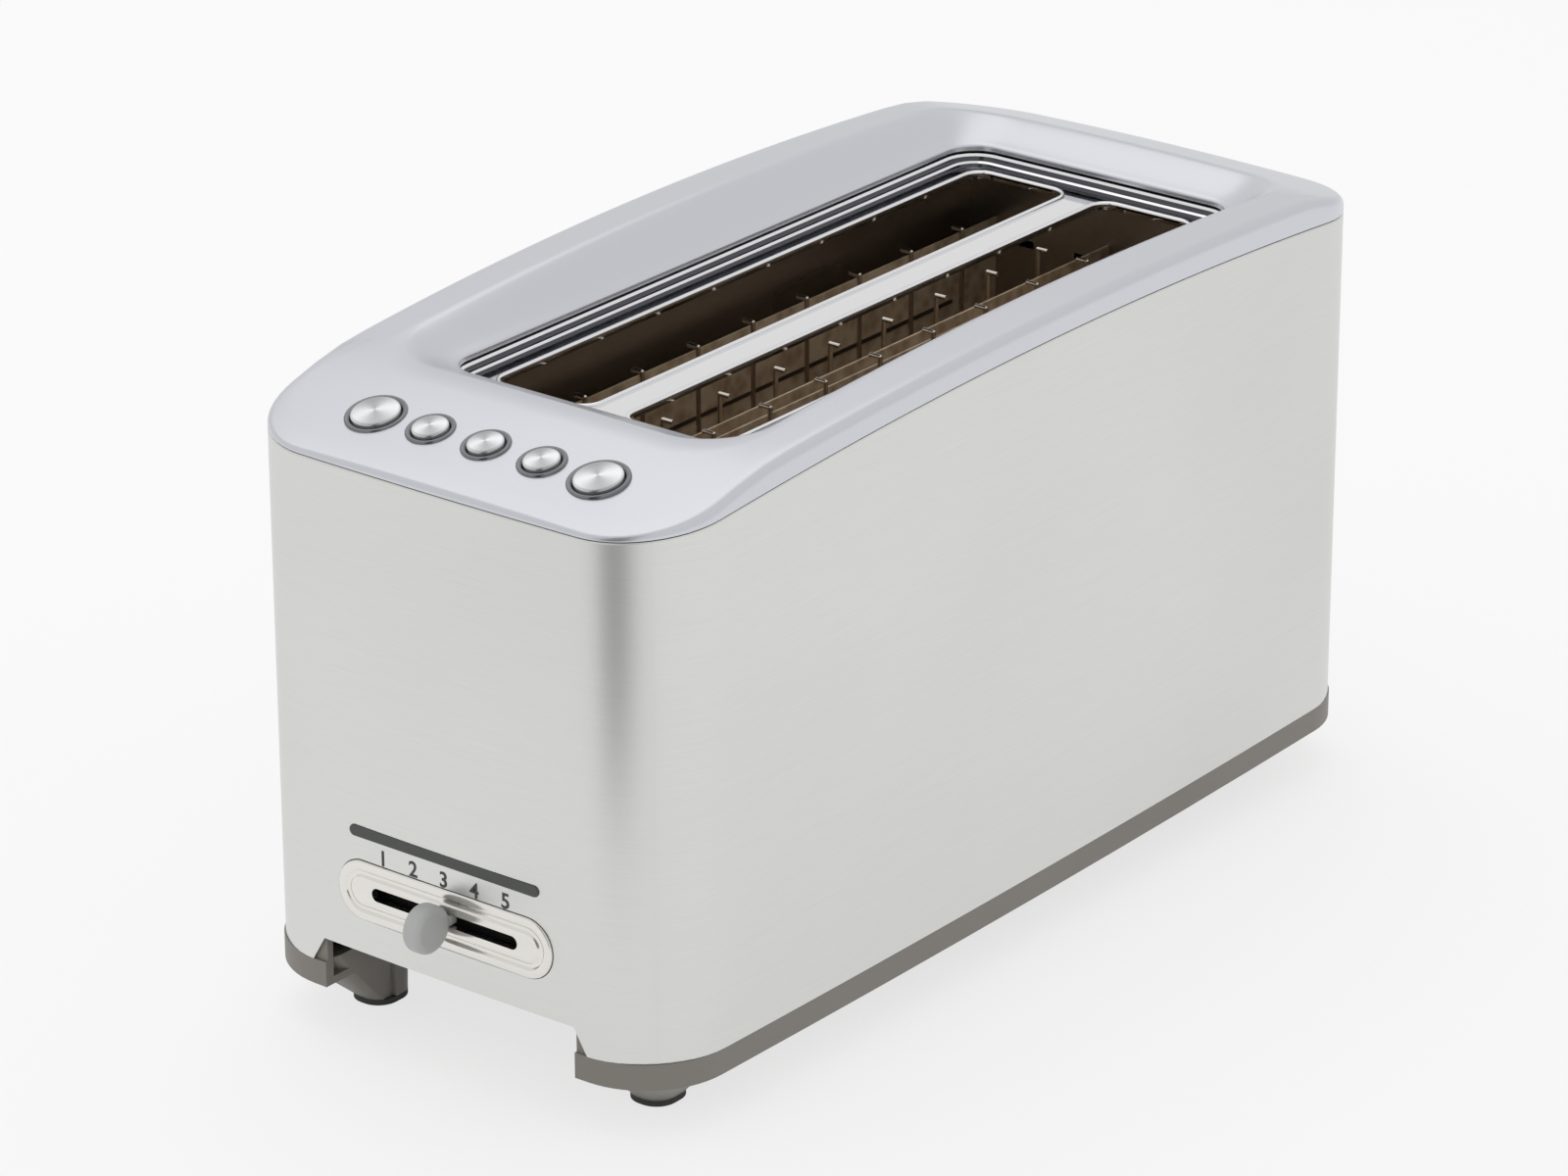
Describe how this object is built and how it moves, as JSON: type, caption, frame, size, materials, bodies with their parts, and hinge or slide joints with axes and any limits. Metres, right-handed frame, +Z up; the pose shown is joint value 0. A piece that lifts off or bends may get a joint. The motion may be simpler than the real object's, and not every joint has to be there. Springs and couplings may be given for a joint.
{
  "type": "pop up toaster",
  "caption": "Long wide-slot toaster with a motorised bread lift, push buttons on a sloping front panel, a browning slider and a rear crumb tray.",
  "frame": {"origin": "bottom centre of the whole toaster's box, on the surface that the feet rest on", "axes": "+Z up, +Y along the toaster from its control end to its back, +X across it; the control end faces -Y"},
  "size_m": [0.172, 0.3964, 0.2139],
  "materials": {
    "cover_metal": "satin silver die-cast cover",
    "wrap_steel": "fine brushed stainless steel",
    "base_plastic": "warm grey, fine moulded texture",
    "foot_rubber": "matt black",
    "polished_trim": "polished",
    "nickel_plate": "satin nickel, pressed",
    "window_plastic": "dark smoked",
    "knob_plastic": "light grey, satin",
    "bezel_chrome": "dark chrome",
    "cap_metal": "spun aluminium",
    "sheet_steel": "aluminised steel sheet",
    "mica": "mica board, mottled",
    "ribbon": "oxidised resistance ribbon",
    "guard_wire": "heat tinted steel wire",
    "rod_steel": "ground steel",
    "gear_plastic": "natural acetal",
    "motor_can": "zinc plated",
    "black_plastic": "black",
    "circuit_board": "green solder mask"
  },
  "bodies": {
    "housing": {"top_cover": "cover_metal", "slot_surround": "polished_trim", "steel_wrap": "wrap_steel", "base": "base_plastic", "rubber_feet": "foot_rubber", "base_screws": "rod_steel", "cord_bush": "black_plastic", "terminal_block": "gear_plastic", "front_bulkhead": "sheet_steel", "rear_bulkhead": "sheet_steel", "gear_axle": "rod_steel", "motor": "motor_can", "motor_screws": "rod_steel", "motor_bracket": "sheet_steel", "limit_switches": "black_plastic", "slider_plate": "nickel_plate", "indicator_window": "window_plastic", "slide_potentiometer": "black_plastic", "control_board": "circuit_board", "button_board": "circuit_board", "reflector_left": "sheet_steel", "guide_rod_left": "rod_steel", "heating_card_left_inner": "mica", "heating_ribbons_left_inner": "ribbon", "heating_card_left_outer": "mica", "heating_ribbons_left_outer": "ribbon", "reflector_right": "sheet_steel", "guide_rod_right": "rod_steel", "heating_card_right_inner": "mica", "heating_ribbons_right_inner": "ribbon", "heating_card_right_outer": "mica", "heating_ribbons_right_outer": "ribbon", "button_bezel_start": "bezel_chrome", "button_bezel_more": "bezel_chrome", "button_bezel_bun": "bezel_chrome", "button_bezel_frozen": "bezel_chrome", "button_bezel_lift": "bezel_chrome"},
    "carriage": {"lift_bracket": "sheet_steel", "lift_rack": "gear_plastic", "bread_rack_left": "guard_wire", "bread_rack_right": "guard_wire"},
    "gear": {"compound_gear": "gear_plastic"},
    "rotor": {"motor_pinion": "gear_plastic", "motor_shaft": "rod_steel"},
    "browning_slider": {"browning_knob": "knob_plastic", "potentiometer_wiper": "black_plastic"},
    "tray": {"crumb_tray": "sheet_steel", "crumb_tray_handle": "base_plastic"},
    "guard_left_inner": {"bread_guard_left_inner": "guard_wire"},
    "guard_left_outer": {"bread_guard_left_outer": "guard_wire"},
    "guard_right_inner": {"bread_guard_right_inner": "guard_wire"},
    "guard_right_outer": {"bread_guard_right_outer": "guard_wire"},
    "button_start": {"button_cap_start": "cap_metal"},
    "button_more": {"button_cap_more": "cap_metal"},
    "button_bun": {"button_cap_bun": "cap_metal"},
    "button_frozen": {"button_cap_frozen": "cap_metal"},
    "button_lift": {"button_cap_lift": "cap_metal"}
  },
  "joints": [
    {"name": "carriage_lift", "type": "slide", "parent": "housing", "child": "carriage", "axis": [0, 0, 1], "range_m": [-0.075, 0]},
    {"name": "gear_turn", "type": "hinge", "parent": "housing", "child": "gear", "pos_m": [-0.003, -0.13675, 0.106], "axis": [0, 1, 0], "range_deg": [-614.38, 1]},
    {"name": "motor_turn", "type": "hinge", "parent": "housing", "child": "rotor", "pos_m": [0.023, -0.13875, 0.106], "axis": [0, 1, 0], "range_deg": [-3, 2047.28]},
    {"name": "browning_slide", "type": "slide", "parent": "housing", "child": "browning_slider", "axis": [1, 0, 0], "range_m": [-0.024, 0.024]},
    {"name": "tray_slide", "type": "slide", "parent": "housing", "child": "tray", "axis": [0, 1, 0], "range_m": [0, 0.28]},
    {"name": "guard_left_inner_close", "type": "slide", "parent": "housing", "child": "guard_left_inner", "axis": [-1, 0, 0], "range_m": [0, 0.006]},
    {"name": "guard_left_outer_close", "type": "slide", "parent": "housing", "child": "guard_left_outer", "axis": [1, 0, 0], "range_m": [0, 0.006]},
    {"name": "guard_right_inner_close", "type": "slide", "parent": "housing", "child": "guard_right_inner", "axis": [1, 0, 0], "range_m": [0, 0.006]},
    {"name": "guard_right_outer_close", "type": "slide", "parent": "housing", "child": "guard_right_outer", "axis": [-1, 0, 0], "range_m": [0, 0.006]},
    {"name": "button_start_press", "type": "slide", "parent": "housing", "child": "button_start", "axis": [0, -0.2504, 0.9681], "range_m": [-0.0016, 0], "stiffness_N_per_m": 400, "springref_m": 0.0005},
    {"name": "button_more_press", "type": "slide", "parent": "housing", "child": "button_more", "axis": [0, -0.2504, 0.9681], "range_m": [-0.0016, 0], "stiffness_N_per_m": 400, "springref_m": 0.0005},
    {"name": "button_bun_press", "type": "slide", "parent": "housing", "child": "button_bun", "axis": [0, -0.2504, 0.9681], "range_m": [-0.0016, 0], "stiffness_N_per_m": 400, "springref_m": 0.0005},
    {"name": "button_frozen_press", "type": "slide", "parent": "housing", "child": "button_frozen", "axis": [0, -0.2504, 0.9681], "range_m": [-0.0016, 0], "stiffness_N_per_m": 400, "springref_m": 0.0005},
    {"name": "button_lift_press", "type": "slide", "parent": "housing", "child": "button_lift", "axis": [0, -0.2504, 0.9681], "range_m": [-0.0016, 0], "stiffness_N_per_m": 400, "springref_m": 0.0005}
  ],
  "couplings": [
    {"joint": "gear_turn", "follows": "carriage_lift", "rad_per_m": 142.86},
    {"joint": "motor_turn", "follows": "carriage_lift", "rad_per_m": -476.19},
    {"joint": "guard_left_inner_close", "follows": "carriage_lift", "ratio": -0.08},
    {"joint": "guard_left_outer_close", "follows": "carriage_lift", "ratio": -0.08},
    {"joint": "guard_right_inner_close", "follows": "carriage_lift", "ratio": -0.08},
    {"joint": "guard_right_outer_close", "follows": "carriage_lift", "ratio": -0.08}
  ]
}
